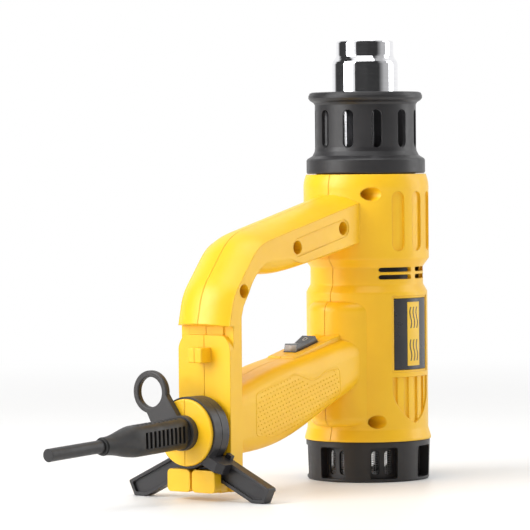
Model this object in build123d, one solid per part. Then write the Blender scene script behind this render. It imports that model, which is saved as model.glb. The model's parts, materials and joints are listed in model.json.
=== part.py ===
from build123d import *
import os
from math import atan2, cos, degrees, hypot, radians, sin, tan

# Hot-air gun, standing on its air-intake cap.  Millimetres.
# +Z runs up the barrel to the nozzle, the handle is on the -X side, Y = 0 is the parting
# plane of the clamshell, and the origin is the centre of the cap's underside.

# ---------------------------------------------------------------- driving dimensions
# Overall stack along the barrel
OVERALL_HEIGHT = 264.0
CAP_HEIGHT = 23.8
HOUSING_BASE_Z = 24.1
HOUSING_TOP_Z = 183.8
GUARD_BASE_Z = 184.2
GUARD_TOP_Z = 233.2

# Barrel radii
BARREL_R = 36.6
NECK_R = 34.1
HEAD_R = 37.8
BASE_FLANGE_R = 38.2
WALL = 2.6
NECK_Z = (117.5, 128.1)
BODY_TOP_Z = 113.0
HEAD_Z = (133.0, 174.0)

# Handle and strap
HALF_WIDTH = 18.9
STRAP_OUT_X = -157.0
STRAP_IN_X = -146.4
TOE_Z = 4.6
CROWN = 6.0
OVERHANG_Z = 98.6
GROOVE_Z = 93.5
GROOVE_X = -153.8
SEAM_GAP = 0.12

# Cable collar, legs and hanging ring, all about one axis along X
COLLAR_Z = 38.8
HUB_R = 15.5
DISC_R = 19.1
DISC_X = (-175.1, -173.1)
RING_R = 20.3
RING_A_X = (-172.9, -166.5)
RING_B_X = (-166.2, -160.0)
LEG_X = (-163.8, -157.3)
LEG_DROOP = 25.5
LEG_REACH = 59.3
LEG_OFFSET = (5.3, 18.3)
RUN_GAP = 0.05
NECK_SLEEVE_R = 8.0

# Nozzle, heater and fan
TUBE_R = 19.8
OUTLET_R = 17.25
TUBE_WALL = 0.8
MOTOR_R = 18.0
SHAFT_R = 1.6
IMPELLER_R = 29.5
CABLE_R = 3.65

# Rocker switch
SWITCH_PIVOT = (-65.5, 80.2)
SWITCH_TILT = 13.5
ROCKER_HALF = 4.6

# Screws that close the clamshell: (x, z)
SCREW_SPOTS = [(-28.2, 172.0), (28.2, 172.0), (-25.4, 36.1), (25.4, 36.1)]
ARM_SCREW_SPOTS = [(-143.6, 118.2), (-92.5, 141.8), (-48.1, 152.0)]
WELL_R = 4.0
SEAT_Y = 8.0

# Nozzle internals and fan, by height
BRACKET_Z = (84.0, 90.0)
MOTOR_Z = (64.0, 106.0)
BOARD_Z = 110.2

# Badge plate
BADGE_X = (-16.6, 12.8)
BADGE_Z = (66.6, 109.6)
BADGE_R = (35.0, 36.1)

# Intake cap
NOTCHES = 7
VENTS = 14

# Upper and lower edges of the grip, seen from the side: (x, z)
GRIP_TOP = [(-152, 60.8), (-135, 64.9), (-119.7, 69.1), (-104.5, 73.2), (-88, 76.2), (-60, 81.5), (-22, 89)]
GRIP_BOTTOM = [(-152, 24.2), (-135, 24.9), (-112.7, 27.2), (-96.8, 31.0), (-85.3, 34.9),
               (-70, 41.0), (-50, 49.0), (-22, 58.0)]

# Middle line of the mains cable
CABLE_PATH = [(-149.5, 0, 38.8), (-162, 0, 38.8), (-178, 0, 38.75), (-200, 0, 38.0), (-219, 0, 37.1),
              (-246, 0, 36.2),
              (-270, 0, 35.3), (-291.5, 0, 34.4)]

BIG = 400.0


# ---------------------------------------------------------------- small helpers
def outline(points):
    """A closed face in XZ from straight edges."""
    return Plane.XZ * make_face(Polyline(*points, close=True))


def slab(face, half_width):
    """A face in XZ thickened to both sides of Y = 0."""
    return extrude(face, half_width, both=True)


def turned(points):
    """A solid of revolution about Z from (radius, z) points."""
    return revolve(outline(points), Axis.Z)


def tube_z(r_out, r_in, z_low, z_high):
    """A straight tube about Z."""
    low = (Align.CENTER, Align.CENTER, Align.MIN)
    height = z_high - z_low
    body = Cylinder(r_out, height, align=low)
    if r_in > 0:
        body -= Cylinder(r_in, height, align=low)
    return Pos(0, 0, z_low) * body


def rod_x(radius, x_low, x_high, y=0.0, z=COLLAR_Z):
    """A round bar along X."""
    return Pos(x_low, y, z) * extrude(Plane.YZ * Circle(radius), x_high - x_low)


def rod_y(radius, x, z, y_low, y_high):
    """A round bar along Y."""
    bar = extrude(Plane.XZ * Pos(x, z) * Circle(radius), -(y_high - y_low))
    return Pos(0, y_low, 0) * bar


def block(x_range, y_range, z_range):
    """A box from its three ranges."""
    size = [b - a for a, b in (x_range, y_range, z_range)]
    middle = [(a + b) / 2 for a, b in (x_range, y_range, z_range)]
    return Pos(*middle) * Box(*size)


def plate_x(sketch, x_low, x_high):
    """A sketch drawn in (y, z) thickened along X."""
    return Pos(x_low, 0, 0) * extrude(Plane.YZ * sketch, x_high - x_low)


def wire_run(radius, *points):
    """A round wire through points."""
    path = Spline(*points)
    return sweep(Plane(origin=path @ 0, z_dir=path % 0) * Circle(radius), path=path)


def flat_wire(radius, y, points, bend):
    """A round wire bent in the plane Y = y, through (x, z) points."""
    path = Plane.XZ.offset(-y) * FilletPolyline(*points, radius=bend)
    return sweep(Plane(origin=path @ 0, z_dir=path % 0) * Circle(radius), path=path)


def mirrored(body):
    """The body's mirror image on the other side of the parting plane."""
    return mirror(body, about=Plane.XZ)


# ---------------------------------------------------------------- housing, outer form
def barrel_outer():
    """Barrel with its base flange, neck and rounded head."""
    shoulder = ThreePointArc((HEAD_R, HEAD_Z[1]), (HEAD_R - 0.3, 179.5), (36.2, HOUSING_TOP_Z))
    line = Polyline(
        (36.2, HOUSING_TOP_Z), (0, HOUSING_TOP_Z), (0, HOUSING_BASE_Z),
        (BASE_FLANGE_R, HOUSING_BASE_Z), (BASE_FLANGE_R, HOUSING_BASE_Z + 1.2),
        (BARREL_R, 31.0), (BARREL_R, BODY_TOP_Z), (NECK_R, NECK_Z[0]),
        (NECK_R, NECK_Z[1]), (HEAD_R, HEAD_Z[0]), (HEAD_R, HEAD_Z[1]))
    face = make_face([shoulder, *line.edges()])
    soft = [v for v in face.vertices() if v.X > 30 and 26 < v.Y < 172]
    face = fillet(soft, 1.8)
    return revolve(Plane.XZ * face, Axis.Z)


def saddle():
    """Boss that carries the grip's root on the barrel."""
    radius, x_axis, z_low, z_high, corner = 24.0, -18.65, 33.0, 108.0, 6.0
    boss = Pos(x_axis, 0, 0) * tube_z(radius, 0, z_low, z_high)
    ends = boss.edges().filter_by(GeomType.CIRCLE)
    return fillet(ends, corner)


def grip_form(shrink, x_start, corner):
    """Rounded lower arm between the strap and the barrel; shrink gives its hollow."""
    top = [(x, z - shrink) for x, z in GRIP_TOP]
    low = [(x, z + shrink) for x, z in GRIP_BOTTOM]
    upper = Spline(*top)
    lower = Spline(*low)
    face = make_face([upper, Line(top[-1], low[-1]), lower, Line(low[0], top[0])])
    body = slab(Plane.XZ * face, HALF_WIDTH - shrink)
    body = fillet(body.edges().filter_by(GeomType.BSPLINE), corner)
    return body & block((x_start, 0), (-30, 30), (0, 120))


def arm_face():
    """Flat side of the upper arm and strap."""
    outer = FilletPolyline((-28, 168.0), (-129.4, 144.3), (-152.9, 116.0), (STRAP_OUT_X, OVERHANG_Z),
                           radius=28)
    inner = Spline((-138.7, 117.6), (-129.5, 129.2), (-118.3, 135.2), (-107.5, 137.0), (-93, 133.4),
                   (-82, 133.5))
    rest = Polyline((-82, 133.5), (-28, 144.2), (-28, 168.0))
    back = Polyline((STRAP_OUT_X, OVERHANG_Z), (STRAP_OUT_X, TOE_Z), (STRAP_IN_X, TOE_Z),
                    (STRAP_IN_X + 0.3, 103.5), (-144.1, 109.7), (-138.7, 117.6))
    return make_face([*outer.edges(), *back.edges(), inner, *rest.edges()]), outer


def arm_body():
    """Upper arm and strap, with a crowned back."""
    face, outer = arm_face()
    body = slab(Plane.XZ * face, HALF_WIDTH)
    path = Plane.XZ * outer
    start = path @ 0
    across = Plane(origin=start, x_dir=(0, 1, 0), z_dir=path % 0)
    crest = -CROWN if (across.y_dir.Z < 0) else CROWN
    edge = HALF_WIDTH - 0.4
    section = make_face([
        ThreePointArc((-edge, 0), (0, crest), (edge, 0)),
        Polyline((edge, 0), (edge, -crest / 6), (-edge, -crest / 6), (-edge, 0))])
    return body + sweep(across * section, path=path)


def belly():
    """Rounded finger rest under the upper arm."""
    low = Spline((-129.1, 127.9), (-117.3, 127.0), (-100, 128.3), (-82, 131.2), (-58, 135.6), (-28, 141.4))
    rest = Polyline((-28, 141.4), (-28, 152), (-100, 145), (-126, 138), (-129.1, 127.9))
    body = slab(Plane.XZ * make_face([low, *rest.edges()]), HALF_WIDTH)
    return fillet(body.edges().filter_by(GeomType.BSPLINE), 8.0)


def bezel():
    """Raised deck around the rocker switch."""
    x_mid = SWITCH_PIVOT[0]
    slope = tan(radians(SWITCH_TILT))
    deck_z = SWITCH_PIVOT[1] + 2.3
    front, rear = -85.6, -38.0
    z_front = deck_z + (front - x_mid) * slope
    z_rear = deck_z + (rear - x_mid) * slope
    body = slab(outline([(front - 1.2, z_front - 7), (front, z_front), (rear, z_rear), (rear,
                                                                                        z_front - 7)]), 9.8)
    top = body.edges().filter_by(lambda e: e.center().Z > z_front - 0.5 and abs(e.center().X - rear) > 1)
    return fillet(top, 1.0)


def collar():
    """Hub and disc on the strap that hold the legs and the cable."""
    hub = rod_x(HUB_R, DISC_X[1], STRAP_OUT_X + 1)
    disc = rod_x(DISC_R, *DISC_X)
    front = disc.edges().sort_by(Axis.X)[0]
    return hub + fillet(front, 0.8)


def lug_pair():
    """Two toe blocks that carry the legs when they are spread."""
    a = radians(LEG_DROOP)
    rest_offset = LEG_OFFSET[1] + 0.15
    y_in, y_out, z_top = 0.7, 17.2, 17.5

    def under(y):
        return COLLAR_Z - (rest_offset + y * sin(a)) / cos(a)

    face = Pos((y_in + y_out) / 2, (TOE_Z + z_top) / 2) * RectangleRounded(y_out - y_in, z_top - TOE_Z, 2.6)
    front = plate_x(face, -170.0, LEG_X[0] - 0.4)
    y_cap = (cos(a) * (COLLAR_Z - z_top) - rest_offset) / sin(a)
    wedge = Polyline((y_in, TOE_Z), (y_out, TOE_Z), (y_out, under(y_out)), (y_cap, z_top), (y_in, z_top),
                     close=True)
    rear = plate_x(make_face(wedge), LEG_X[0] - 0.4, STRAP_OUT_X + 0.5)
    lug = front + rear
    return lug + mirrored(lug)


def peg():
    """Stop between the stowed legs."""
    body = block((-166.0, STRAP_OUT_X + 1), (-5.0, 5.0), (77.8, 86.5))
    return fillet(body.edges().filter_by(lambda e: e.center().X < -160), 0.8)


def groove_cut():
    """Slot across the strap under the overhang, with rounded lower corners."""
    z_side = 85.5
    half = Polyline((0, OVERHANG_Z), (0, GROOVE_Z), (11.5, GROOVE_Z)).edges()
    corner = Spline((11.5, GROOVE_Z), (16.5, 91.0), (HALF_WIDTH, z_side), tangents=[(1, 0), (0.15, -1)])
    close = Polyline((HALF_WIDTH, z_side), (25, z_side), (25, OVERHANG_Z), (0, OVERHANG_Z)).edges()
    cut = plate_x(make_face([*half, corner, *close]), STRAP_OUT_X - 4, GROOVE_X)
    cut = cut + mirrored(cut)
    tab = block((GROOVE_X - 1.1, GROOVE_X), (-12.3, 12.3), (GROOVE_Z, OVERHANG_Z))
    return cut - tab


# ---------------------------------------------------------------- housing, hollow and cuts
def barrel_hollow():
    """Room inside the barrel, with seats for the cap and the guard."""
    r_low, r_neck, r_head = BARREL_R - WALL, NECK_R - WALL, HEAD_R - WALL
    return turned([
        (0, HOUSING_BASE_Z - 1), (33.9, HOUSING_BASE_Z - 1), (33.9, 26.6), (35.4, 26.6), (35.4, 29.7),
        (r_low, 29.7), (r_low, BODY_TOP_Z - 1), (r_neck, NECK_Z[0] - 1), (r_neck, NECK_Z[1] + 1),
        (r_head, HEAD_Z[0] + 1), (r_head, 176), (33.2, 181.2), (30.2, 181.2), (30.2, HOUSING_TOP_Z + 1),
        (0, HOUSING_TOP_Z + 1)])


def arm_hollow():
    """Room inside the upper arm and strap."""
    points = [(-32, 162.6), (-118, 142.6), (-132, 135.5), (-146.8, 117.2), (-151, 104.0), (-149.2, 104.0),
              (-146.9, 111.4), (-141.3, 119.6), (-132.0, 131.5), (-119.0, 138.4), (-107, 140.4),
              (-93, 136.6), (-84, 136.6), (-32, 147.0)]
    return slab(outline(points), HALF_WIDTH - WALL)


def wire_notch():
    """Way past the bracket for the heater's leads."""
    return block((-36.0, -29.4), (-6.5, 6.5), (BRACKET_Z[0] - 4, BRACKET_Z[1] + 4))


def ribs():
    """Rings inside the barrel that locate the motor bracket and the air duct."""
    rings = [(BRACKET_Z[0] - 2.8, BRACKET_Z[0] - 0.2, 31.4, BARREL_R - 1),
             (BRACKET_Z[1] + 0.2, BRACKET_Z[1] + 2.8, 31.4, BARREL_R - 1),
             (144.8, 147.4, 30.5, HEAD_R - 1), (153.2, 155.8, 25.5, HEAD_R - 1)]
    body = tube_z(rings[0][3], rings[0][2], rings[0][0], rings[0][1])
    for z_low, z_high, r_in, r_out in rings[1:]:
        body = body + tube_z(r_out, r_in, z_low, z_high)
    return body - wire_notch()


def bosses():
    """Posts round the housing's screws."""
    body = None
    for x, z in SCREW_SPOTS + ARM_SCREW_SPOTS:
        post = rod_y(WELL_R + 1.8, x, z, -40, 40)
        body = post if body is None else body + post
    return body


def screw_holes():
    """Well, clearance hole and pilot for each screw."""
    body = None
    for x, z in SCREW_SPOTS + ARM_SCREW_SPOTS:
        hole = rod_y(WELL_R, x, z, -45, -SEAT_Y) + rod_y(1.9, x, z, -SEAT_Y - 1, 13)
        body = hole if body is None else body + hole
    return body


def flute_cuts():
    """Obround flutes around the head, on both sides."""
    length, width, depth, middle_z = 35.4, 8.2, 1.3, 155.6
    cutter = None
    for angle in (67.0, 89.5, 112.0):
        face = Plane.YZ * Rot(0, 0, 90) * SlotOverall(length, width)
        tool = Pos(0, 0, middle_z) * Rot(0, 0, 180 + angle) * Pos(30, 0, 0) * extrude(face, 12)
        cutter = tool if cutter is None else cutter + tool
    cutter = cutter & tube_z(HEAD_R + 3, HEAD_R - depth, 130, 180)
    return cutter + mirrored(cutter)


def vent_slot_cuts():
    """Two rows of cooling slots in the neck, on both sides."""
    cutter = None
    for x_low, x_high in ((-22.6, -1.5), (2.5, 22.6)):
        for z in (122.3, 126.7):
            face = Plane.XZ * Pos((x_low + x_high) / 2, z) * SlotOverall(x_high - x_low, 2.7)
            tool = Pos(0, -24, 0) * extrude(face, 20)
            cutter = tool if cutter is None else cutter + tool
    return cutter + mirrored(cutter)


def badge_blank(x_range, z_range, r_in, r_out):
    """A patch of cylinder wall on the -Y side."""
    shell = tube_z(r_out, r_in, *z_range)
    return shell & block(x_range, (-50, -20), z_range)


def badge_plate():
    """Curved plate that stands in the badge pocket with a gap all round."""
    inset = 0.3
    x_range = (BADGE_X[0] + inset, BADGE_X[1] - inset)
    z_range = (BADGE_Z[0] + inset, BADGE_Z[1] - inset)
    plate = badge_blank(x_range, z_range, *BADGE_R)
    corners = plate.edges().filter_by(lambda e: abs(e.center().Y) < BADGE_R[1] and abs(e.length - 1.1) < 0.3)
    return fillet(corners, 0.8) if len(corners) == 4 else plate


def badge_pocket():
    """Pocket for the plate, with a shallow rim round it."""
    pocket = badge_blank(BADGE_X, BADGE_Z, BADGE_R[0], BARREL_R + 2)
    rim = badge_blank((BADGE_X[0] - 1.3, BADGE_X[1] + 1.3), (BADGE_Z[0] - 1.3, BADGE_Z[1] + 1.3), 36.15,
                      BARREL_R + 2)
    return pocket + rim


def shield_cuts():
    """Recessed louvres in a shield outline, below the badge."""
    x_left, x_right, z_top, z_side, z_tip = -17.6, 14.4, 62.4, 55.0, 34.6
    x_tip = (x_left + x_right) / 2
    left = Spline((x_left, z_side), (-13.5, 43.5), (x_tip, z_tip), tangents=[(0, -1), (1, -0.35)])
    right = Spline((x_tip, z_tip), (10.3, 43.5), (x_right, z_side), tangents=[(1, 0.35), (0, 1)])
    top = Polyline((x_right, z_side), (x_right, z_top), (x_left, z_top), (x_left, z_side))
    face = make_face([left, right, *top.edges()])
    column = Pos(0, -24, 0) * extrude(Plane.XZ * face, 20)
    recess = column & tube_z(BARREL_R + 3, 35.7, 30, 66)
    cutter = recess
    pitch = (x_right - x_left) / 4
    for i in range(4):
        x = x_left + pitch * i
        louvre = block((x, x + pitch * 0.42), (-50, -20), (30, 66)) & tube_z(BARREL_R + 3, 34.6, 30, 66)
        cutter = cutter + (louvre & column)
    return cutter


def panel_cut():
    """Shallow recess that joins two screw wells on the arm's side."""
    (x1, z1), (x2, z2) = ARM_SCREW_SPOTS[1:]
    length = hypot(x2 - x1, z2 - z1)
    tilt = degrees(atan2(z2 - z1, x2 - x1))
    face = Plane.XZ * Pos((x1 + x2) / 2, (z1 + z2) / 2) * Rot(0, 0, tilt) * SlotOverall(length + 10.4, 10.4)
    tool = Pos(0, -HALF_WIDTH + 0.5, 0) * extrude(face, 5)
    return tool + mirrored(tool)


def switch_place(body):
    """From the switch's own frame (pivot at its origin, deck normal +Z) to the row frame."""
    return Pos(SWITCH_PIVOT[0], 0, SWITCH_PIVOT[1]) * Rot(0, -SWITCH_TILT, 0) * body


def switch_opening():
    """Window for the rocker, and the seat for the switch case under it."""
    window = block((-11.7, 11.7), (-ROCKER_HALF - 0.4, ROCKER_HALF + 0.4), (-6, 8))
    seat = block((-12.7, 12.7), (-7.2, 7.2), (-9.0, 1.6))
    return switch_place(window + seat)


def housing_shell():
    """Both halves as one shell, with every opening cut."""
    outer = barrel_outer() + saddle() + grip_form(0.0, -150.0, 10.0)
    outer = outer + arm_body() + belly()
    outer = outer + bezel() + collar() + lug_pair() + peg()
    hollow = barrel_hollow() + grip_form(WALL, -149.0, 7.6) + arm_hollow()
    hollow = hollow + block((-154.2, -148.8), (-14.5, 14.5), (27.5, 58.5))
    hollow = hollow + rod_x(12.2, DISC_X[1] + 1.6, -150.0)
    shell = outer - hollow
    shell = shell + (ribs() & outer) + (bosses() & outer)
    shell = shell - groove_cut() - screw_holes() - flute_cuts() - vent_slot_cuts() - panel_cut()
    for cut in (badge_pocket(), shield_cuts()):
        shell = shell - cut - mirrored(cut)
    return shell - switch_opening() - rod_x(NECK_SLEEVE_R + 0.2, -180, -170)


def housing_halves():
    """The shell parted at Y = 0: the -Y half, then the +Y half."""
    shell = housing_shell()
    right = shell & block((-BIG, BIG), (-60, -SEAM_GAP), (-10, BIG))
    left = shell & block((-BIG, BIG), (SEAM_GAP, 60), (-10, BIG))
    return right, left


# ---------------------------------------------------------------- nose: guard and nozzle
def nozzle_guard():
    """Slotted heat guard, held by a flange under the housing's top wall."""
    slots, slot_z, slot_width = 11, (199.7, 222.5), 6.6
    wall_r, in_r = 30.55, 28.2
    profile = [
        (in_r, 178.1), (32.6, 178.1), (32.6, 180.9), (30.0, 180.9), (30.0, GUARD_BASE_Z),
        (35.3, GUARD_BASE_Z), (35.85, GUARD_BASE_Z + 0.8), (35.85, 192.2), (35.2, 193.2), (32.2, 195.0),
        (30.9, 197.6), (wall_r, 200.0), (wall_r, 225.6), (31.4, 227.0), (33.4, 228.2), (34.4, 229.6),
        (34.4, 231.0), (33.6, 232.7), (32.4, GUARD_TOP_Z), (28.6, GUARD_TOP_Z), (27.6, 232.0), (26.6,
                                                                                                229.4),
        (in_r, 226.4), (in_r, 197.4), (TUBE_R + 0.5, 196.2), (TUBE_R + 0.5, 194.0), (in_r, 192.6)]
    body = turned(profile)
    face = Plane.YZ * Rot(0, 0, 90) * SlotOverall(slot_z[1] - slot_z[0], slot_width)
    slot = Pos(0, 0, sum(slot_z) / 2) * Pos(24, 0, 0) * extrude(face, 12)
    for i in range(slots):
        angle = 360.0 / slots * (i + 0.5)
        body = body - Rot(0, 0, 180 + angle) * slot
    return body


def nozzle_tube():
    """Drawn steel tube with a necked outlet and a flared foot."""
    t, r_in, r_out_in = TUBE_WALL, TUBE_R - TUBE_WALL, OUTLET_R - TUBE_WALL
    lip = 0.9
    top = OVERALL_HEIGHT
    return turned([
        (29.0, 150.2), (29.0, 150.2 + t), (TUBE_R + 2.0, 150.2 + t), (TUBE_R, 153.4), (TUBE_R, 250.4),
        (TUBE_R - 0.4, 251.6), (TUBE_R - 1.6, 253.4), (OUTLET_R + 0.2, 254.8), (OUTLET_R, 255.6),
        (OUTLET_R, top - lip), (OUTLET_R - 0.3, top - 0.2), (OUTLET_R - 0.7, top), (r_out_in - 0.3,
                                                                                    top - 0.5),
        (r_out_in, top - 1.4), (r_out_in, 255.2), (r_out_in + 0.8, 253.6), (r_in, 250.6), (r_in, 152.6),
        (r_in + 1.4, 150.2)])


def air_duct():
    """Funnel from the fan chamber to the foot of the nozzle tube."""
    return turned([
        (28.3, 110.0), (28.3, 116.5), (23.0, 136.0), (23.0, 147.6), (33.6, 147.6), (33.6, 149.4),
        (19.6, 149.4), (19.6, 147.6), (21.2, 146.4), (21.2, 135.4), (26.5, 116.2), (26.5, 110.0)])


def insulating_ring():
    """Mica washer between the tube's foot and the housing's rib."""
    return tube_z(33.6, TUBE_R + 2.4, 151.2, 153.0)


def mica_sleeve():
    """Insulating liner inside the nozzle tube."""
    return tube_z(17.6, 17.1, 156.2, 240.0)


def heater_mount():
    """Ceramic spider that carries the heater in the foot of the tube."""
    plate = tube_z(18.6, 2.1, 153.6, 156.0)
    for i in range(6):
        plate = plate - Rot(0, 0, 60 * i) * Pos(12.4, 0, 154.8) * Cylinder(3.4, 6)
    return plate


def heater_core():
    """Six-finned ceramic former."""
    core = tube_z(4.2, 0, 156.1, 238.0) + tube_z(2.0, 0, 153.0, 159.4)
    for i in range(3):
        core = core + Rot(0, 0, 60 * i + 30) * Pos(0, 0, 197.0) * Box(20.4, 2.2, 81.6)
    return core


def heater_coil():
    """Resistance wire wound round the former."""
    radius, wire_r, pitch, turns = 11.0, 0.55, 5.2, 14
    path = Helix(pitch, pitch * turns, radius, center=(0, 0, 160.0))
    return sweep(Plane(origin=path @ 0, z_dir=path % 0) * Circle(wire_r), path=path, is_frenet=True)


def thermal_cutout():
    """Round thermostat under the heater mount."""
    return Pos(0, 0, 147.6) * Cylinder(4.6, 3.4) + Pos(0, 0, 149.8) * Cylinder(1.6, 1.0)


# ---------------------------------------------------------------- fan and motor
def fan_motor():
    """Motor can with a bore that runs on the shaft."""
    can = tube_z(MOTOR_R, 0, *MOTOR_Z)
    can = chamfer(can.edges().filter_by(GeomType.CIRCLE), 1.2)
    boss = tube_z(6.5, 0, MOTOR_Z[0] - 2.0, MOTOR_Z[1] + 2.0)
    flat = block((-20, 20), (16.6, 20), (70, 82))
    return (can - flat - mirrored(flat) + boss) - tube_z(SHAFT_R + RUN_GAP, 0, 60, 112)


def motor_shaft():
    """Shaft through the motor, with the impeller on its lower end."""
    return tube_z(SHAFT_R, 0, 45.4, MOTOR_Z[1] + 4)


def fan_impeller():
    """Seven-bladed axial fan on the motor's lower shaft end."""
    blades, z_low, z_high = 7, 48.0, 59.0
    hub = tube_z(9.0, 0, z_low - 1, z_high + 1) - tube_z(7.4, 3.4, z_high - 5, z_high + 2)
    blade = Pos(IMPELLER_R / 2 + 3, 0, (z_low + z_high) / 2) * Rot(38, 0, 0) * Box(IMPELLER_R - 6.5,
                                                                                   15.0, 1.3)
    body = hub
    for i in range(blades):
        body = body + Rot(0, 0, 360.0 / blades * i) * blade
    body = body & tube_z(IMPELLER_R, 0, z_low - 1, z_high + 1)
    return body - tube_z(SHAFT_R + 0.01, 0, 40, 70)


def motor_bracket():
    """Spoked ring that holds the motor in the housing's ribs."""
    z_low, z_high = BRACKET_Z
    ring = tube_z(BARREL_R - WALL - 0.3, 30.4, z_low, z_high) + tube_z(MOTOR_R + 2.2, 0, z_low, z_high)
    for i in range(4):
        spoke = Pos(25.4, 0, (z_low + z_high) / 2) * Box(12.0, 3.0, z_high - z_low)
        ring = ring + Rot(0, 0, 45 + 90 * i) * spoke
    return ring - tube_z(MOTOR_R + 0.05, 0, z_low - 5, z_high + 5) - wire_notch()


def inlet_ring():
    """Venturi ring between the intake and the fan."""
    return turned([(33.8, 42.4), (33.8, 61.0), (31.4, 61.0), (30.6, 59.5), (30.4, 49.0), (27.0, 44.6),
                   (24.5, 44.0),
                   (24.5, 42.4)])


def rectifier_board():
    """Round board above the motor."""
    return tube_z(15.0, 7.0, BOARD_Z - 1.6, BOARD_Z)


def board_parts():
    """Four diodes and a smoothing capacitor on the motor's board."""
    body = []
    for i in range(4):
        body.append(Rot(0, 0, 90 * i) * Pos(10.6, 0, BOARD_Z + 1.3) * Rot(90, 0, 0) * Cylinder(1.25, 5.0))
    body.append(Rot(0, 0, 45) * Pos(11.0, 0, BOARD_Z + 3.2) * Cylinder(2.4, 6.2))
    return Compound(children=body)


# ---------------------------------------------------------------- air intake
def intake_cap():
    """Cup with seven notches, a slotted basket inside them and a captured collar."""
    floor, basket_r, in_r = 2.4, 31.2, 29.4
    body = turned([(0, 0), (36.2, 0), (36.8, 0.8), (37.5, CAP_HEIGHT), (33.6, CAP_HEIGHT), (33.6, 26.8),
                   (35.1, 26.8),
                   (35.1, 29.4), (31.6, 29.4), (31.6, 23.0), (in_r, 20.8), (in_r, floor), (0, floor)])
    notch_face = Plane.YZ * Pos(0, 11.2) * RectangleRounded(17.0, 18.8, 1.6)
    notch = Pos(basket_r - 2, 0, 0) * extrude(notch_face, 12) - tube_z(basket_r, 0, -1, 30)
    slot_face = Plane.YZ * Rot(0, 0, 90) * SlotOverall(14.4, 4.6)
    for i in range(NOTCHES):
        turn = Rot(0, 0, 180 + 360.0 / NOTCHES * i)
        body = body - turn * notch
        for side in (-3.9, 3.9):
            body = body - turn * Pos(24, side, 11.2) * extrude(slot_face, 12)
    vent = SlotOverall(15.0, 3.0)
    for i in range(VENTS):
        body = body - Rot(0, 0, 360.0 / VENTS * i) * Pos(19.5, 0, -1) * extrude(vent, 6)
    return body


def intake_screen():
    """Fine dust screen standing inside the basket."""
    return tube_z(29.2, 28.8, 2.6, 20.6)


# ---------------------------------------------------------------- badge
def badge_right():
    """Badge on the -Y side."""
    return badge_plate()


def badge_left():
    """Badge on the +Y side."""
    return mirrored(badge_plate())


# ---------------------------------------------------------------- rocker switch
def switch_rocker():
    """Concave three-position rocker with its pivot trunnions."""
    valley, rise, wing, half = 4.3, 2.3, 8.8, 11.0
    face = outline([(0, valley), (wing, valley + rise), (half, valley - 1.9), (9.4, -3.4), (-9.4, -3.4),
                    (-half, valley - 1.9), (-wing, valley + rise)])
    body = slab(face, ROCKER_HALF)
    ridge = body.edges().filter_by(lambda e: abs(abs(e.center().X) - wing) < 0.1 and e.center().Z > 6)
    body = fillet(ridge, 0.5)
    body = body - slab(outline([(-7, -4), (7, -4), (7, 1.2), (-7, 1.2)]), ROCKER_HALF - 1.4)
    body = body + block((-0.9, 0.9), (-1.2, 1.2), (-4.5, 2.0))
    pins = rod_y(1.5, 0, 0, -ROCKER_HALF - 1.2, ROCKER_HALF + 1.2)
    pins = pins - block((-3, 3), (-ROCKER_HALF + 1, ROCKER_HALF - 1), (-3, 3))
    return switch_place(body + pins)


def switch_body():
    """Snap-in switch case under the deck, with tab terminals."""
    case = block((-12.4, 12.4), (-6.9, 6.9), (-20.0, 1.4)) - block((-11.6, 11.6), (-5.1, 5.1), (-6.4, 3))
    case = case - rod_y(1.5 + RUN_GAP, 0, 0, -6.0, 6.0)
    for x in (-8.0, 0.0, 8.0):
        case = case + block((x - 0.4, x + 0.4), (-2.4, 2.4), (-27.0, -19.5))
    return switch_place(case)


# ---------------------------------------------------------------- support legs
def leg_outline(inset=0.0, start=0.0):
    """Bar outline in (y, z), drooping from the collar's axis to a flat foot."""
    a = radians(LEG_DROOP)
    o_in, o_out = LEG_OFFSET[0] + inset, LEG_OFFSET[1] - inset
    reach = LEG_REACH - inset
    floor = inset * 1.1

    def point(along, off):
        return (cos(a) * along - sin(a) * off, COLLAR_Z - sin(a) * along - cos(a) * off)

    off_floor = (COLLAR_Z - floor - sin(a) * reach) / cos(a)
    along_floor = (COLLAR_Z - floor - cos(a) * o_out) / sin(a)
    return [point(start, o_in), point(reach, o_in), point(reach, off_floor), point(along_floor, o_out),
            point(start, o_out)]


def leg_patch(along, off):
    """A small rectangle in the leg's own directions, as (y, z) points."""
    a = radians(LEG_DROOP)
    return [(cos(a) * s - sin(a) * o, COLLAR_Z - sin(a) * s - cos(a) * o)
            for s, o in ((along[0], off[0]), (along[1], off[0]), (along[1], off[1]), (along[0], off[1]))]


def yz_face(points):
    """A closed face from straight edges, in (y, z)."""
    return make_face(Polyline(*points, close=True))


def leg_bar(bore_r, x_range):
    """One leg's bar with its channel, stop tab and latch nub, clear of a round bore."""
    bar = plate_x(yz_face(leg_outline()), *LEG_X)
    long_edges = bar.edges().filter_by(Axis.X).sort_by(lambda e: -abs(e.center().Y))[:3]
    bar = fillet(long_edges, 0.8)
    channel = plate_x(fillet(yz_face(leg_outline(1.9, 21.5)).vertices(), 1.2), LEG_X[0] - 1, LEG_X[0] + 1.8)
    tab = plate_x(yz_face(leg_patch((21.6, 25.4), (2.8, 6.0))), -160.2, LEG_X[1])
    nub = plate_x(Pos(*leg_patch((57.0, 57.0), (7.6, 7.6))[0]) * Circle(1.45), LEG_X[1] - 1, -155.5)
    return (bar - channel + tab + nub) - rod_x(bore_r, *x_range)


def support_leg_left():
    """Leg whose ring sits next to the strap."""
    ring = rod_x(RING_R, *RING_B_X)
    leg = ring + leg_bar(HUB_R + RUN_GAP, (-170, -150))
    return leg - rod_x(HUB_R + RUN_GAP, -170, -150)


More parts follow.
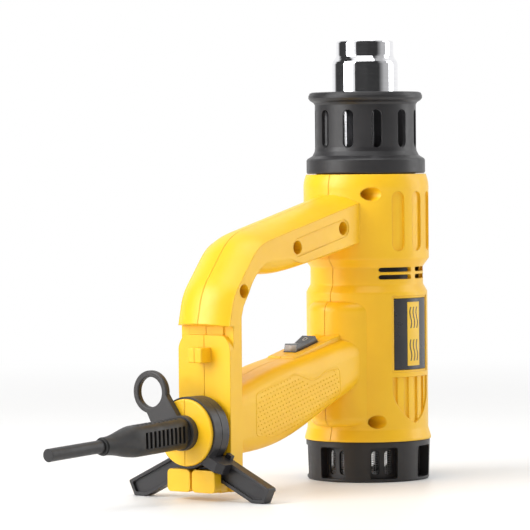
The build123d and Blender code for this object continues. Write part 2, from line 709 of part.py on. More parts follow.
def support_leg_right():
    """Leg whose ring sits behind the collar's disc; its bar steps back over the other ring."""
    bar = leg_bar(RING_R + 0.3, (RING_B_X[0] - 0.2, -150))
    step = plate_x(yz_face(leg_patch((12, 30), (LEG_OFFSET[0], 11.5))), RING_A_X[0], LEG_X[0] + 0.1)
    step = chamfer(step.edges().sort_by(lambda e: e.center().X - abs(e.center().Y))[0], 3.5)
    step = step - rod_x(RING_R + 0.3, RING_B_X[0] - 0.2, -150)
    step = step - rod_x(HUB_R + RUN_GAP, -180, -150)
    ring = rod_x(RING_R, *RING_A_X) - rod_x(HUB_R + RUN_GAP, -180, -150)
    return mirrored(bar + step + ring)


# ---------------------------------------------------------------- cable and hanging ring
def hanging_ring():
    """Flat loop that swivels on the sleeve's neck."""
    centre, hole_r, rim_r, hub_r = (22.2, 61.4), 8.6, 12.3, 10.0
    x_low, x_high = -179.4, -175.4
    arm = [(12.0, 62.6), (0.6, 46.5), (-3.0, 40.0), (4.0, 30.2), (12.5, 31.4), (19.4, 40.6), (24.2, 49.4)]
    face = Pos(*centre) * Circle(rim_r) + Pos(0, COLLAR_Z) * Circle(hub_r) + yz_face(arm)
    face = face - Pos(*centre) * Circle(hole_r) - Pos(0, COLLAR_Z) * Circle(NECK_SLEEVE_R + RUN_GAP)
    body = plate_x(face, x_low, x_high)
    rims = body.edges().filter_by(lambda e: e.geom_type == GeomType.CIRCLE and e.center().Z > 55)
    return fillet(rims, 1.1)


def cable_line(radius):
    """A round bar along the cable's middle line."""
    return wire_run(radius, *CABLE_PATH)


def power_cable():
    """Mains cable from inside the strap to where it is cut off."""
    return cable_line(CABLE_R)


def cable_sleeve():
    """Ribbed rubber bend relief with a tapered boot; its root is caught inside the collar."""
    droop = 2.4
    start = -180.2
    root = rod_x(11.6, -171.2, -168.2) + rod_x(NECK_SLEEVE_R, start - 0.6, -168.2)
    face = RectangleRounded(14.6, 17.6, 5.4)
    rib_length, boot_end = 39.4, 66.5
    place = Pos(start, 0, COLLAR_Z) * Rot(0, -droop, 0)
    barrel = place * extrude(Plane.YZ * face, -rib_length)
    sections = [(rib_length, RectangleRounded(14.6, 17.6, 5.4)), (rib_length + 5, RectangleRounded(14.4,
                                                                                                   17.0,
                                                                                                   5.9)),
                (rib_length + 15, Circle(6.6)), (boot_end, Circle(5.2))]
    boot = loft([Pos(-x, 0, 0) * (Plane.YZ * s) for x, s in sections])
    tip = extrude(Pos(-boot_end, 0, 0) * (Plane.YZ * Circle(4.6)), -1.6)
    body = barrel + place * (boot + tip)
    pitch, count = 3.62, 10
    for i in range(count):
        x = 3.2 + pitch * i
        side = block((-x - 1.9, -x), (5.6, 12), (-4.6, 4.6))
        body = body - place * side - place * mirrored(side)
        shifted = x + pitch / 2
        top = block((-shifted - 1.9, -shifted), (-3.4, 3.4), (7.0, 14))
        body = body - place * top - place * mirror(top, about=Plane.XY)
    return root + body - cable_line(CABLE_R + 0.05)


def cable_clamp():
    """Bar that pins the cable's sheath down inside the strap's foot."""
    return block((-146.0, -138.0), (-11.0, 11.0), (44.2, 48.2))


def clamp_screws():
    """Two screw heads on the cable clamp."""
    body = []
    for y in (-8.4, 8.4):
        body.append(Pos(-142.0, y, 49.4) * Cylinder(2.6, 2.2))
    return Compound(children=body)


def wire_live():
    """Live core from the cable to the terminal block."""
    return wire_run(1.1, (-149.0, 1.7, 38.8), (-141, 2.4, 39.6), (-135.2, 3.6, 41.6))


def wire_neutral():
    """Neutral core from the cable to the terminal block."""
    return wire_run(1.1, (-149.0, -1.7, 38.8), (-141, -2.4, 39.6), (-135.2, -3.6, 41.6))


def terminal_block():
    """Two-way screw terminal in the grip."""
    return block((-134.0, -118.0), (-8.0, 8.0), (38.0, 49.0))


def suppression_capacitor():
    """Interference suppressor in the grip."""
    return fillet(block((-112.0, -96.0), (-4.5, 4.5), (38.0, 54.0)).edges().filter_by(Axis.Y), 1.0)


def switch_leads():
    """Feed from the terminal block to the switch."""
    body = []
    for y in (-3.4, 3.4):
        body.append(wire_run(1.0, (-116.4, y, 46.0), (-106, y * 2.6, 52), (-88, y * 1.8, 56.0), (-75,
                                                                                                 y * 1.1,
                                                                                                 56.0),
                             (-68.6, y * 1.06, 55.2)))
    return Compound(children=body)


def heater_leads():
    """Leads from the switch up past the bracket and the duct to the heater."""
    route = [(-50.0, 57.0), (-44.5, 64.5), (-43.0, 71.0), (-32.6, 83.0), (-31.4, 92.0), (-30.0, 117.0),
             (-29.6, 141.0)]
    y_run, wire_r, bend = 3.9, 0.9, 2.5
    lead = flat_wire(wire_r, y_run, route, bend)
    return Compound(children=[lead, mirrored(lead)])


# ---------------------------------------------------------------- clamshell screws
def housing_screws():
    """Seven cross-head screws, entered from the -Y side."""
    body = []
    for x, z in SCREW_SPOTS + ARM_SCREW_SPOTS:
        head = rod_y(3.4, x, z, -SEAT_Y - 2.4, -SEAT_Y)
        cross = block((x - 2, x + 2), (-SEAT_Y - 3, -SEAT_Y - 1.2), (z - 0.4, z + 0.4))
        cross = cross + block((x - 0.4, x + 0.4), (-SEAT_Y - 3, -SEAT_Y - 1.2), (z - 2, z + 2))
        body.append(head + rod_y(1.8, x, z, -SEAT_Y, 11.5) - cross)
    return Compound(children=body)


# ---------------------------------------------------------------- write every node
NODES = [
    nozzle_guard, nozzle_tube, air_duct, insulating_ring, mica_sleeve, heater_mount, heater_core,
    heater_coil,
    thermal_cutout, fan_motor, motor_shaft, fan_impeller, motor_bracket, inlet_ring, rectifier_board,
    board_parts,
    intake_cap, intake_screen, badge_right, badge_left, switch_rocker, switch_body, support_leg_left,
    support_leg_right, hanging_ring, cable_sleeve, power_cable, cable_clamp, clamp_screws, wire_live,
    wire_neutral,
    terminal_block, suppression_capacitor, switch_leads, heater_leads, housing_screws]


def write(name, body):
    """One STEP file per node."""
    export_step(body, f"parts/{name}.step")


os.makedirs("parts", exist_ok=True)
housing_right, housing_left = housing_halves()
write("housing_right", housing_right)
write("housing_left", housing_left)
for node in NODES:
    write(node.__name__, node())
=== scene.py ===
import json
from math import atan2, cos, pi, radians, sin, sqrt

import bmesh
import bpy
from mathutils import Matrix, Vector
from mathutils.bvhtree import BVHTree


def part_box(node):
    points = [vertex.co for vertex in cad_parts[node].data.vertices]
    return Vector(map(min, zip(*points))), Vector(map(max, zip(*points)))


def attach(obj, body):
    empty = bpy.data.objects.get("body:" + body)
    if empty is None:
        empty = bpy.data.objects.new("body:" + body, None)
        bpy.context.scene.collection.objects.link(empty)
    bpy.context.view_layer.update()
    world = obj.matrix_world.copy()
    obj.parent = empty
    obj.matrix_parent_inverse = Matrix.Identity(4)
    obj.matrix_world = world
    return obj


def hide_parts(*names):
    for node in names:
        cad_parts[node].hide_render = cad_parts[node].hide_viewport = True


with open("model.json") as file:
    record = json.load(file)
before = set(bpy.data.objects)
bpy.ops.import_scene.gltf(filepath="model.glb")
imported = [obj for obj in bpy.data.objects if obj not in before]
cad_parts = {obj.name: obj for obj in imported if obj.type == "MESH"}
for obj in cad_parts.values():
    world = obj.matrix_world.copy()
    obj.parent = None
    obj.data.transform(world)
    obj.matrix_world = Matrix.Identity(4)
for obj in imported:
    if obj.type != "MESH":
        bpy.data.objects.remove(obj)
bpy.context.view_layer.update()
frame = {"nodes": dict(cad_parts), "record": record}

MM = 0.001
nodes = frame["nodes"]


# ---------------------------------------------------------------- material building blocks
class Shader:
    """A Principled material with a few helpers for its node tree."""

    def __init__(self, name):
        self.material = bpy.data.materials.new(name)
        self.material.use_nodes = True
        self.tree = self.material.node_tree
        self.bsdf = self.tree.nodes["Principled BSDF"]

    def node(self, kind, **values):
        made = self.tree.nodes.new(kind)
        for key, value in values.items():
            if key in made.inputs:
                made.inputs[key].default_value = value
            else:
                setattr(made, key, value)
        return made

    def link(self, source, target):
        self.tree.links.new(source, target)

    def place(self):
        """Object-space coordinates, in metres."""
        return self.node("ShaderNodeTexCoord").outputs["Object"]

    def noise(self, scale, detail=3.0, rough=0.5, stretch=None):
        texture = self.node("ShaderNodeTexNoise", Scale=scale, Detail=detail, Roughness=rough)
        coordinates = self.place()
        if stretch:
            mapping = self.node("ShaderNodeMapping")
            mapping.inputs["Scale"].default_value = stretch
            self.link(coordinates, mapping.inputs["Vector"])
            coordinates = mapping.outputs["Vector"]
        self.link(coordinates, texture.inputs["Vector"])
        return texture.outputs["Fac"]

    def spread(self, source, low, high, target, at=(0.3, 0.7)):
        """Maps a 0..1 source onto low..high and plugs it into a float input."""
        mapper = self.node("ShaderNodeMapRange")
        mapper.inputs["From Min"].default_value = at[0]
        mapper.inputs["From Max"].default_value = at[1]
        mapper.inputs["To Min"].default_value = low
        mapper.inputs["To Max"].default_value = high
        self.link(source, mapper.inputs["Value"])
        self.link(mapper.outputs["Result"], target)

    def tint(self, source, low, high, at=(0.3, 0.7)):
        """Base colour between two colours by a 0..1 source."""
        ramp = self.node("ShaderNodeValToRGB")
        ramp.color_ramp.elements[0].position = at[0]
        ramp.color_ramp.elements[1].position = at[1]
        ramp.color_ramp.elements[0].color = (*low, 1)
        ramp.color_ramp.elements[1].color = (*high, 1)
        self.link(source, ramp.inputs["Fac"])
        self.link(ramp.outputs["Color"], self.bsdf.inputs["Base Color"])
        return ramp.outputs["Color"]

    def relief(self, source, strength, depth, soften=0.0):
        """Bump from a source, over edges softened by a small bevel."""
        bump = self.node("ShaderNodeBump", Strength=strength, Distance=depth)
        self.link(source, bump.inputs["Height"])
        if soften > 0:
            bevel = self.node("ShaderNodeBevel", samples=4)
            bevel.inputs["Radius"].default_value = soften
            self.link(bevel.outputs["Normal"], bump.inputs["Normal"])
        self.link(bump.outputs["Normal"], self.bsdf.inputs["Normal"])


def moulded_plastic(name, dark, light, rough=(0.36, 0.46), grain=0.12, soften=0.5 * MM, coat=0.0, sub=0.0):
    """Injection-moulded plastic: faint colour drift, spark-eroded grain and soft edges."""
    s = Shader(name)
    s.tint(s.noise(38, 4), dark, light)
    s.spread(s.noise(260, 3), rough[0], rough[1], s.bsdf.inputs["Roughness"])
    s.relief(s.noise(2600, 2), grain, 0.05 * MM, soften)
    s.bsdf.inputs["Coat Weight"].default_value = coat
    s.bsdf.inputs["Coat Roughness"].default_value = 0.25
    s.bsdf.inputs["Subsurface Weight"].default_value = sub
    s.bsdf.inputs["Subsurface Radius"].default_value = (2.4 * MM, 1.2 * MM, 0.3 * MM)
    s.bsdf.inputs["Subsurface Scale"].default_value = 1.0
    return s.material


def metal(name, dark, light, rough=(0.1, 0.2), stretch=None, grain=0.05):
    """Metal with directional polish marks."""
    s = Shader(name)
    s.bsdf.inputs["Metallic"].default_value = 1.0
    source = s.noise(420, 3, stretch=stretch)
    s.tint(source, dark, light)
    s.spread(source, rough[0], rough[1], s.bsdf.inputs["Roughness"])
    s.relief(source, grain, 0.02 * MM, 0.3 * MM)
    return s.material


YELLOW = moulded_plastic("yellow_abs", (0.93, 0.52, 0.007), (0.97, 0.57, 0.011), (0.34, 0.44), 0.10, 0.9 * MM, 0.08)
YELLOW_FINE = moulded_plastic("yellow_abs_fine", (0.93, 0.52, 0.007), (0.97, 0.57, 0.011), (0.34, 0.44), 0.05, 0.0)
GUARD = moulded_plastic("guard_nylon", (0.016, 0.015, 0.016), (0.024, 0.023, 0.025), (0.34, 0.46), 0.16)
CAP = moulded_plastic("cap_plastic", (0.014, 0.0125, 0.013), (0.022, 0.02, 0.021), (0.36, 0.5), 0.16)
LEG = moulded_plastic("leg_nylon", (0.018, 0.017, 0.019), (0.028, 0.027, 0.03), (0.34, 0.46), 0.16)
RING = moulded_plastic("ring_nylon", (0.028, 0.026, 0.026), (0.045, 0.042, 0.042), (0.42, 0.52), 0.18)
RUBBER = moulded_plastic("sleeve_pvc", (0.010, 0.0095, 0.0095), (0.018, 0.017, 0.017), (0.40, 0.56), 0.2)
CABLE = moulded_plastic("cable_pvc", (0.012, 0.0115, 0.012), (0.022, 0.021, 0.022), (0.38, 0.5), 0.14)
ROCKER = moulded_plastic("rocker_gloss", (0.008, 0.008, 0.009), (0.014, 0.014, 0.015), (0.16, 0.24), 0.05, 0.3 * MM, 0.3)
PLATE = moulded_plastic("badge_plate", (0.014, 0.013, 0.015), (0.024, 0.023, 0.026), (0.26, 0.34), 0.06, 0.3 * MM, 0.2)
MARK_YELLOW = moulded_plastic("badge_band", (0.86, 0.52, 0.02), (0.93, 0.58, 0.03), (0.3, 0.4), 0.05, 0.0)
# Grey for the rocker's printed O and I marks, also used for the painted highlight pad on the rocker's end face.
MARK_AND_HIGHLIGHT_GREY = moulded_plastic("mark_grey_and_painted_highlight", (0.38, 0.38, 0.38), (0.45, 0.45, 0.45), (0.4, 0.5), 0.06, 0.0)
INNER = moulded_plastic("inner_nylon", (0.02, 0.02, 0.021), (0.03, 0.03, 0.032), (0.5, 0.6), 0.1)
CHROME = metal("nozzle_chrome", (0.80, 0.80, 0.82), (0.88, 0.88, 0.90), (0.05, 0.09), (0.2, 0.2, 4.0), 0.01)
STEEL = metal("zinc_steel", (0.42, 0.42, 0.44), (0.6, 0.6, 0.62), (0.25, 0.4), (1, 1, 3.0))
COIL = metal("coil_alloy", (0.25, 0.22, 0.2), (0.4, 0.36, 0.33), (0.35, 0.5))
CERAMIC = moulded_plastic("ceramic", (0.62, 0.58, 0.5), (0.72, 0.68, 0.6), (0.7, 0.85), 0.3)
MICA = moulded_plastic("mica", (0.32, 0.24, 0.13), (0.45, 0.35, 0.2), (0.3, 0.5), 0.3)
DUCT = moulded_plastic("duct_plastic", (0.05, 0.052, 0.058), (0.07, 0.072, 0.08), (0.45, 0.55), 0.1)
BOARD = moulded_plastic("board_epoxy", (0.012, 0.07, 0.03), (0.02, 0.1, 0.045), (0.3, 0.45), 0.2)
BROWN = moulded_plastic("wire_brown", (0.07, 0.025, 0.01), (0.1, 0.035, 0.014), (0.3, 0.4), 0.05)
BLUE = moulded_plastic("wire_blue", (0.01, 0.04, 0.16), (0.015, 0.055, 0.2), (0.3, 0.4), 0.05)
BRAID = moulded_plastic("wire_braid", (0.5, 0.48, 0.42), (0.65, 0.62, 0.56), (0.8, 0.9), 0.5)
WHITE = moulded_plastic("terminal_white", (0.6, 0.6, 0.56), (0.68, 0.68, 0.64), (0.4, 0.5), 0.1)

FINISH = {
    "housing_right": YELLOW, "housing_left": YELLOW, "nozzle_guard": GUARD, "nozzle_tube": CHROME,
    "intake_cap": CAP, "intake_screen": STEEL, "badge_right": PLATE, "badge_left": PLATE,
    "switch_rocker": ROCKER, "switch_body": INNER, "support_leg_left": LEG, "support_leg_right": LEG,
    "hanging_ring": RING, "cable_sleeve": RUBBER, "power_cable": CABLE, "cable_clamp": WHITE,
    "clamp_screws": STEEL, "wire_live": BROWN, "wire_neutral": BLUE, "terminal_block": WHITE,
    "suppression_capacitor": MARK_YELLOW, "switch_leads": BROWN, "heater_leads": BRAID,
    "housing_screws": STEEL, "air_duct": DUCT, "insulating_ring": MICA, "mica_sleeve": MICA,
    "heater_mount": CERAMIC, "heater_core": CERAMIC, "heater_coil": COIL, "thermal_cutout": STEEL,
    "fan_motor": STEEL, "motor_shaft": STEEL, "fan_impeller": INNER, "motor_bracket": INNER,
    "inlet_ring": INNER, "rectifier_board": BOARD, "board_parts": PLATE,
}
for name, material in FINISH.items():
    mesh = nodes[name].data
    mesh.materials.clear()
    mesh.materials.append(material)


# ---------------------------------------------------------------- pieces
def piece(name, bm, material, body):
    """Puts a bmesh into the scene as a piece on a body."""
    mesh = bpy.data.meshes.new(name)
    bmesh.ops.recalc_face_normals(bm, faces=bm.faces)
    bm.to_mesh(mesh)
    bm.free()
    for face in mesh.polygons:
        face.use_smooth = True
    obj = bpy.data.objects.new(name, mesh)
    bpy.context.scene.collection.objects.link(obj)
    mesh.materials.append(material)
    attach(obj, body)
    return obj


def surface_of(node):
    mesh = nodes[node].data
    return BVHTree.FromPolygons([v.co[:] for v in mesh.vertices], [p.vertices[:] for p in mesh.polygons])


def inside(point, outline):
    """True if a 2-D point is inside a closed outline."""
    x, z = point
    hit = False
    for (x1, z1), (x2, z2) in zip(outline, outline[1:] + outline[:1]):
        if (z1 > z) != (z2 > z) and x < (x2 - x1) * (z - z1) / (z2 - z1) + x1:
            hit = not hit
    return hit


# ---------------------------------------------------------------- badge band and heat mark
BADGE_FACE_R = 36.1 * MM          # outer radius of the badge plate
BAND_LIFT = 0.14 * MM


def badge_patch(bm, path, half_width, lift, side, across=(1, 0)):
    """A flat-sectioned strip along an (x, z) path, laid on the badge's curved face."""
    radius = BADGE_FACE_R + lift
    rows = []
    for x, z in path:
        row = []
        for push in (-half_width, half_width):
            px, pz = x + across[0] * push, z + across[1] * push
            for r in (BADGE_FACE_R - 0.05 * MM, radius):
                row.append(bm.verts.new((px, -side * sqrt(r * r - px * px), pz)))
        rows.append([row[0], row[1], row[3], row[2]])
    for a, b in zip(rows, rows[1:]):
        for i in range(4):
            bm.faces.new((a[i], a[(i + 1) % 4], b[(i + 1) % 4], b[i]))
    bm.faces.new(rows[0])
    bm.faces.new(rows[-1][::-1])


def add_badge(node, side):
    """Plain band down the badge, with three rising heat waves on it."""
    low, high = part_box(node)
    width, height = high[0] - low[0], high[2] - low[2]
    middle_x = low[0] + 0.50 * width
    band_half = 0.19 * width
    z_low, z_high = low[2] + 0.05 * height, high[2] - 0.05 * height
    steps = 12
    band = bmesh.new()
    across_band = [middle_x - band_half + 2 * band_half * i / steps for i in range(steps + 1)]
    middle_z, half_z = (z_low + z_high) / 2, (z_high - z_low) / 2
    badge_patch(band, [(x, middle_z) for x in across_band], half_z, BAND_LIFT, side, (0, 1))
    shape = piece(f"{node}_band", band, MARK_YELLOW, "casing")
    for face in shape.data.polygons:
        face.use_smooth = False
    waves = bmesh.new()
    wave_steps, wave_height = 28, 0.30 * height
    for offset in (-0.52, 0.0, 0.52):
        for centre in (0.27, 0.73):
            path = []
            for i in range(wave_steps + 1):
                t = i / wave_steps
                x = middle_x + offset * band_half + 0.13 * band_half * sin(2 * pi * t)
                path.append((x, low[2] + centre * height + (t - 0.5) * wave_height))
            badge_patch(waves, path, 0.36 * MM, BAND_LIFT + 0.1 * MM, side)
    shape = piece(f"{node}_heat_mark", waves, PLATE, "casing")
    for face in shape.data.polygons:
        face.use_smooth = False


# ---------------------------------------------------------------- rocker marks
ROCKER_PIVOT = Vector(next(j for j in frame["record"]["behaviour"]["joints"]
                           if j["name"] == "rocker_tilt")["pos_m"])
ROCKER_TILT = radians(13.5)
WING_SLOPE = atan2(2.3, 8.8)


def on_wing(along, y, lift, wing):
    """A point on one of the rocker's two sloping faces."""
    x = wing * (along * cos(WING_SLOPE) - lift * sin(WING_SLOPE))
    z = 4.3 * MM + along * sin(WING_SLOPE) + lift * cos(WING_SLOPE)
    turned = Vector((x * cos(ROCKER_TILT) - z * sin(ROCKER_TILT), y, x * sin(ROCKER_TILT) + z * cos(ROCKER_TILT)))
    return ROCKER_PIVOT + turned


def add_rocker_marks():
    low_lift, high_lift, steps = -0.05 * MM, 0.1 * MM, 32
    ring = bmesh.new()
    loops = []
    for i in range(steps):
        a = 2 * pi * i / steps
        loop = []
        for r, lift in ((1.0, low_lift), (1.0, high_lift), (1.75, high_lift), (1.75, low_lift)):
            loop.append(ring.verts.new(on_wing(5.0 * MM + r * MM * cos(a), r * MM * sin(a), lift, 1)))
        loops.append(loop)
    for i in range(steps):
        a, b = loops[i], loops[(i + 1) % steps]
        for k in range(4):
            ring.faces.new((a[k], a[(k + 1) % 4], b[(k + 1) % 4], b[k]))
    piece("rocker_mark_off", ring, MARK_AND_HIGHLIGHT_GREY, "rocker")
    bar = bmesh.new()
    corners = []
    for lift in (low_lift, high_lift):
        for along, y in ((4.7, -1.8), (5.3, -1.8), (5.3, 1.8), (4.7, 1.8)):
            corners.append(bar.verts.new(on_wing(along * MM, y * MM, lift, -1)))
    bar.faces.new(corners[3::-1])
    bar.faces.new(corners[4:])
    for k in range(4):
        bar.faces.new((corners[k], corners[(k + 1) % 4], corners[(k + 1) % 4 + 4], corners[k + 4]))
    piece("rocker_mark_on", bar, MARK_AND_HIGHLIGHT_GREY, "rocker")


def add_rocker_painted_highlight():
    """Light grey pad on the rocker's outer end face: a painted highlight standing in for the light its glossy end face
    reflects.
    """
    half_y = 4.3 * MM
    highlight_pad = bmesh.new()
    ends = []
    for x, z in ((-9.15, 5.95), (-10.85, 2.5)):
        for out in (-0.1, 0.14):
            px, pz = (x - out) * MM, z * MM
            px, pz = px * cos(ROCKER_TILT) - pz * sin(ROCKER_TILT), px * sin(ROCKER_TILT) + pz * cos(ROCKER_TILT)
            ends.append([highlight_pad.verts.new(ROCKER_PIVOT + Vector((px, y, pz))) for y in (-half_y, half_y)])
    order = [ends[0], ends[1], ends[3], ends[2]]
    for i in range(4):
        a, b = order[i], order[(i + 1) % 4]
        highlight_pad.faces.new((a[0], a[1], b[1], b[0]))
    highlight_pad.faces.new([e[0] for e in order])
    highlight_pad.faces.new([e[1] for e in order][::-1])
    bmesh.ops.bevel(highlight_pad, geom=highlight_pad.edges[:], offset=0.06 * MM, segments=2, affect="EDGES")
    # The grey pad is a painted highlight: the glossy black end face lit from the left, not a grey part.
    piece("rocker_painted_highlight", highlight_pad, MARK_AND_HIGHLIGHT_GREY, "rocker")


# ---------------------------------------------------------------- grip texture
GRIP_PANEL = [(-133.0, 58.6), (-95.3, 68.5), (-88.0, 66.2), (-80.0, 63.9), (-73.0, 65.4), (-66.0, 68.7),
              (-53.5, 70.0), (-52.0, 54.8), (-53.8, 52.0), (-81.9, 41.6), (-115.4, 33.7), (-133.3, 34.9)]


def rounded(points, reach):
    """Closed outline with its corners rounded off by quadratic arcs."""
    out = []
    count = len(points)
    for i in range(count):
        before, here, after = (Vector(points[(i + k) % count]) for k in (-1, 0, 1))
        start = here + (before - here).normalized() * min(reach, (before - here).length * 0.45)
        end = here + (after - here).normalized() * min(reach, (after - here).length * 0.45)
        for k in range(6):
            t = k / 5
            out.append(start * (1 - t) ** 2 + here * 2 * t * (1 - t) + end * t ** 2)
    return out


def grip_hit(tree, x, z, side):
    """Where a line along Y meets the grip's outside, and which way it faces there."""
    start = Vector((x, -side * 40 * MM, z))
    spot, normal, _, _ = tree.ray_cast(start, Vector((0, side, 0)), 34 * MM)
    if spot is None or abs(spot.y) < 12 * MM:
        return None
    if normal.y * side > 0:
        normal = -normal
    return spot, normal


def add_grip(node, side, name):
    tree = surface_of(node)
    frame_path = rounded(GRIP_PANEL, 3.2)
    dots = bmesh.new()
    row_pitch, dot_pitch, dot_r, dot_rise = 2.75, 2.9, 0.62, 0.42
    slope = 0.24
    for row in range(0, 22):
        for column in range(0, 40):
            u = -150.0 + dot_pitch * (column + 0.5 * (row % 2))
            x, z = u, 27.0 + row_pitch * row * 0.95 + slope * (u + 133.0)
            if not inside((x, z), [tuple(p) for p in GRIP_PANEL]):
                continue
            if min((Vector((x, z)) - p).length for p in frame_path) < 1.9:
                continue
            hit = grip_hit(tree, x * MM, z * MM, side)
            if hit is None:
                continue
            spot, normal = hit
            turn = normal.to_track_quat("Z", "Y").to_matrix()
            rings = []
            for level in range(3):
                angle = pi / 2 * level / 3
                r, rise = dot_r * MM * cos(angle), dot_rise * MM * sin(angle) - 0.05 * MM
                rings.append([dots.verts.new(spot + turn @ Vector((r * cos(pi * k / 4), r * sin(pi * k / 4), rise)))
                              for k in range(8)])
            tip = dots.verts.new(spot + normal * (dot_rise - 0.05) * MM)
            for a, b in zip(rings, rings[1:]):
                for k in range(8):
                    dots.faces.new((a[k], a[(k + 1) % 8], b[(k + 1) % 8], b[k]))
            for k in range(8):
                dots.faces.new((rings[-1][k], rings[-1][(k + 1) % 8], tip))
            dots.faces.new(rings[0][::-1])
    piece(f"grip_dots_{name}", dots, YELLOW_FINE, "casing")
    rim = bmesh.new()
    loops = []
    rim_half, rim_rise = 0.6, 0.2
    count = len(frame_path)
    for i in range(count):
        here = frame_path[i]
        along = (frame_path[(i + 1) % count] - frame_path[i - 1]).normalized()
        out = Vector((along.y, -along.x))
        loop = []
        for push, rise in ((-1, -0.1), (-0.6, 0.8), (0, 1.0), (0.6, 0.8), (1, -0.1)):
            x, z = here + out * push * rim_half
            hit = grip_hit(tree, x * MM, z * MM, side)
            if hit is None:
                loop = None
                break
            spot, normal = hit
            loop.append(rim.verts.new(spot + normal * rise * rim_rise * MM))
        loops.append(loop)
    for i in range(count):
        a, b = loops[i], loops[(i + 1) % count]
        if a is None or b is None:
            continue
        for k in range(5):
            rim.faces.new((a[k], a[(k + 1) % 5], b[(k + 1) % 5], b[k]))
    piece(f"grip_outline_{name}", rim, YELLOW_FINE, "casing")


# ---------------------------------------------------------------- woven intake screen
def add_screen():
    """Wire cloth in place of the plain dust screen."""
    low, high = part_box("intake_screen")
    radius = (high[0] - low[0]) / 2 - 0.2 * MM
    wires, hoops, wire_r = 120, 13, 0.17 * MM
    height = high[2] - low[2] - 2 * wire_r
    cloth = bmesh.new()

    def strand(points, closed):
        loops = []
        for point, side_a, side_b in points:
            loops.append([cloth.verts.new(point + side_a * wire_r * ca + side_b * wire_r * cb)
                          for ca, cb in ((1, 0), (0, 1), (-1, 0), (0, -1))])
        pairs = zip(loops, loops[1:] + loops[:1]) if closed else zip(loops, loops[1:])
        for a, b in pairs:
            for k in range(4):
                cloth.faces.new((a[k], a[(k + 1) % 4], b[(k + 1) % 4], b[k]))
        if not closed:
            cloth.faces.new(loops[0][::-1])
            cloth.faces.new(loops[-1])

    up = Vector((0, 0, 1))
    for i in range(wires):
        a = 2 * pi * i / wires
        out, along = Vector((cos(a), sin(a), 0)), Vector((-sin(a), cos(a), 0))
        points = []
        for k in range(2 * hoops + 1):
            weave = 0.8 * wire_r * (0 if k % 2 == 0 else (1 if (k // 2 + i) % 2 else -1))
            points.append((out * (radius + weave) + up * (low[2] + wire_r + height * k / (2 * hoops)), out, along))
        strand(points, False)
    for k in range(hoops):
        z = low[2] + wire_r + height * (2 * k + 1) / (2 * hoops)
        points = []
        for i in range(wires):
            a = 2 * pi * i / wires
            out = Vector((cos(a), sin(a), 0))
            weave = -0.8 * wire_r * (1 if (k + i) % 2 else -1)
            points.append((out * (radius + weave) + up * z, out, up))
        strand(points, True)
    screen = piece("intake_screen_cloth", cloth, STEEL, "casing")
    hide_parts("intake_screen")


add_badge("badge_right", 1)
add_badge("badge_left", -1)
add_rocker_marks()
add_rocker_painted_highlight()
add_grip("housing_right", 1, "right")
add_grip("housing_left", -1, "left")
add_screen()


# ---------------------------------------------------------------- stage, light, camera
def area_light(name, place, aim, size, power, colour=(1, 1, 1)):
    data = bpy.data.lights.new(name, "AREA")
    data.shape = "RECTANGLE"
    data.size, data.size_y = size
    data.energy = power
    data.color = colour
    obj = bpy.data.objects.new(name, data)
    obj.location = place
    obj.rotation_euler = (Vector(aim) - Vector(place)).to_track_quat("-Z", "Y").to_euler()
    bpy.context.scene.collection.objects.link(obj)


CAMERA_AZIMUTH, CAMERA_RANGE, CAMERA_HEIGHT = radians(53.687), 2.0845, 0.1921
CAMERA_YAW, CAMERA_PITCH, CAMERA_ROLL = radians(1.691), radians(1.726), radians(-0.526)
CAMERA_LENS = 233.8
ROOM_GREY = 0.42
# Room brightness round the horizon as polished metal sees it: (turn from -X, brightness)
FLAGS = [(0.0, 0.05), (0.12, 0.05), (0.13, 0.04), (0.20, 0.04), (0.24, 0.04), (0.30, 0.5), (0.36, 0.55),
         (0.42, 1.0), (0.50, 1.0), (0.72, 1.0), (0.76, 0.05), (0.88, 0.05), (0.90, 1.0), (1.0, 1.0)]


def add_camera():
    place = Vector((-sin(CAMERA_AZIMUTH) * CAMERA_RANGE, -cos(CAMERA_AZIMUTH) * CAMERA_RANGE, CAMERA_HEIGHT))
    heading = atan2(-place.y, -place.x) + CAMERA_YAW
    forward = Vector((cos(heading) * cos(CAMERA_PITCH), sin(heading) * cos(CAMERA_PITCH), -sin(CAMERA_PITCH)))
    right = forward.cross(Vector((0, 0, 1))).normalized()
    up = right.cross(forward)
    c, s = cos(CAMERA_ROLL), sin(CAMERA_ROLL)
    right, up = right * c + up * s, up * c - right * s
    data = bpy.data.cameras.new("camera")
    data.lens = CAMERA_LENS
    data.sensor_width = 36.0
    data.clip_end = 20.0
    camera = bpy.data.objects.new("camera", data)
    camera.matrix_world = Matrix.Translation(place) @ Matrix((right, up, -forward)).transposed().to_4x4()
    bpy.context.scene.collection.objects.link(camera)
    bpy.context.scene.camera = camera


def add_stage():
    """Pale floor that fades into the white room behind the object."""
    floor = bpy.data.meshes.new("floor")
    reach = 6.0
    low = -0.0002
    floor.from_pydata([(-reach, -reach, low), (reach, -reach, low), (reach, reach, low), (-reach, reach, low)], [],
                      [(0, 1, 2, 3)])
    obj = bpy.data.objects.new("floor", floor)
    bpy.context.scene.collection.objects.link(obj)
    s = Shader("floor_paper")
    s.tint(s.noise(3, 3), (0.93, 0.925, 0.915), (0.96, 0.955, 0.945))
    s.bsdf.inputs["Roughness"].default_value = 0.45
    away = s.node("ShaderNodeVectorMath", operation="LENGTH")
    s.link(s.place(), away.inputs[0])
    fade = s.node("ShaderNodeMapRange", interpolation_type="SMOOTHSTEP")
    fade.inputs["From Min"].default_value = 0.25
    fade.inputs["From Max"].default_value = 1.3
    s.link(away.outputs["Value"], fade.inputs["Value"])
    glow = s.node("ShaderNodeEmission")
    mixed = s.node("ShaderNodeMixShader")
    s.link(fade.outputs["Result"], mixed.inputs["Fac"])
    s.link(s.bsdf.outputs["BSDF"], mixed.inputs[1])
    s.link(glow.outputs["Emission"], mixed.inputs[2])
    s.link(mixed.outputs["Shader"], s.tree.nodes["Material Output"].inputs["Surface"])
    floor.materials.append(s.material)


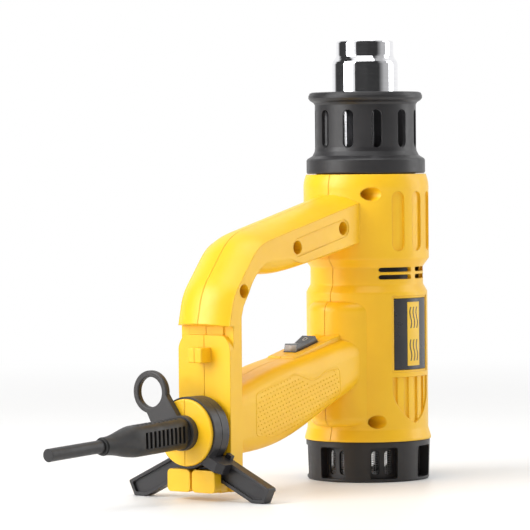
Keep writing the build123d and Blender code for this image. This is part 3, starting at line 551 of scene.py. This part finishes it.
def studio_world():
    """White room; polished metal also sees dark flags standing round the object."""
    world = bpy.data.worlds.new("studio")
    world.use_nodes = True
    tree = world.node_tree
    background = tree.nodes["Background"]
    place = tree.nodes.new("ShaderNodeTexCoord")
    split = tree.nodes.new("ShaderNodeSeparateXYZ")
    tree.links.new(place.outputs["Generated"], split.inputs["Vector"])
    azimuth = tree.nodes.new("ShaderNodeMath")
    azimuth.operation = "ARCTAN2"
    tree.links.new(split.outputs["Y"], azimuth.inputs[0])
    tree.links.new(split.outputs["X"], azimuth.inputs[1])
    turn = tree.nodes.new("ShaderNodeMapRange")
    turn.inputs["From Min"].default_value = -pi
    turn.inputs["From Max"].default_value = pi
    tree.links.new(azimuth.outputs["Value"], turn.inputs["Value"])
    flags = tree.nodes.new("ShaderNodeValToRGB")
    flags.color_ramp.interpolation = "LINEAR"
    while len(flags.color_ramp.elements) < len(FLAGS):
        flags.color_ramp.elements.new(0.5)
    for element, (position, grey) in zip(flags.color_ramp.elements, FLAGS):
        element.position = position
        element.color = (grey, grey, grey, 1)
    tree.links.new(turn.outputs["Result"], flags.inputs["Fac"])
    rays = tree.nodes.new("ShaderNodeLightPath")
    seen = tree.nodes.new("ShaderNodeMix")
    seen.data_type = "RGBA"
    seen.inputs["A"].default_value = (ROOM_GREY, ROOM_GREY, ROOM_GREY, 1)
    tree.links.new(rays.outputs["Is Glossy Ray"], seen.inputs["Factor"])
    tree.links.new(flags.outputs["Color"], seen.inputs["B"])
    backdrop = tree.nodes.new("ShaderNodeMix")
    backdrop.data_type = "RGBA"
    backdrop.inputs["B"].default_value = (1, 1, 1, 1)
    tree.links.new(rays.outputs["Is Camera Ray"], backdrop.inputs["Factor"])
    tree.links.new(seen.outputs["Result"], backdrop.inputs["A"])
    tree.links.new(backdrop.outputs["Result"], background.inputs["Color"])
    bpy.context.scene.world = world


def add_lights():
    middle = (-0.06, 0, 0.13)
    area_light("key", (-1.5, 0.75, 0.9), middle, (1.2, 1.4), 30)
    area_light("top", (-0.3, -0.2, 1.6), middle, (1.2, 1.2), 12)
    area_light("rim", (0.9, -0.75, 0.45), middle, (0.5, 1.3), 5)


add_stage()
studio_world()
add_lights()
add_camera()
bpy.context.scene.view_settings.view_transform = "Standard"
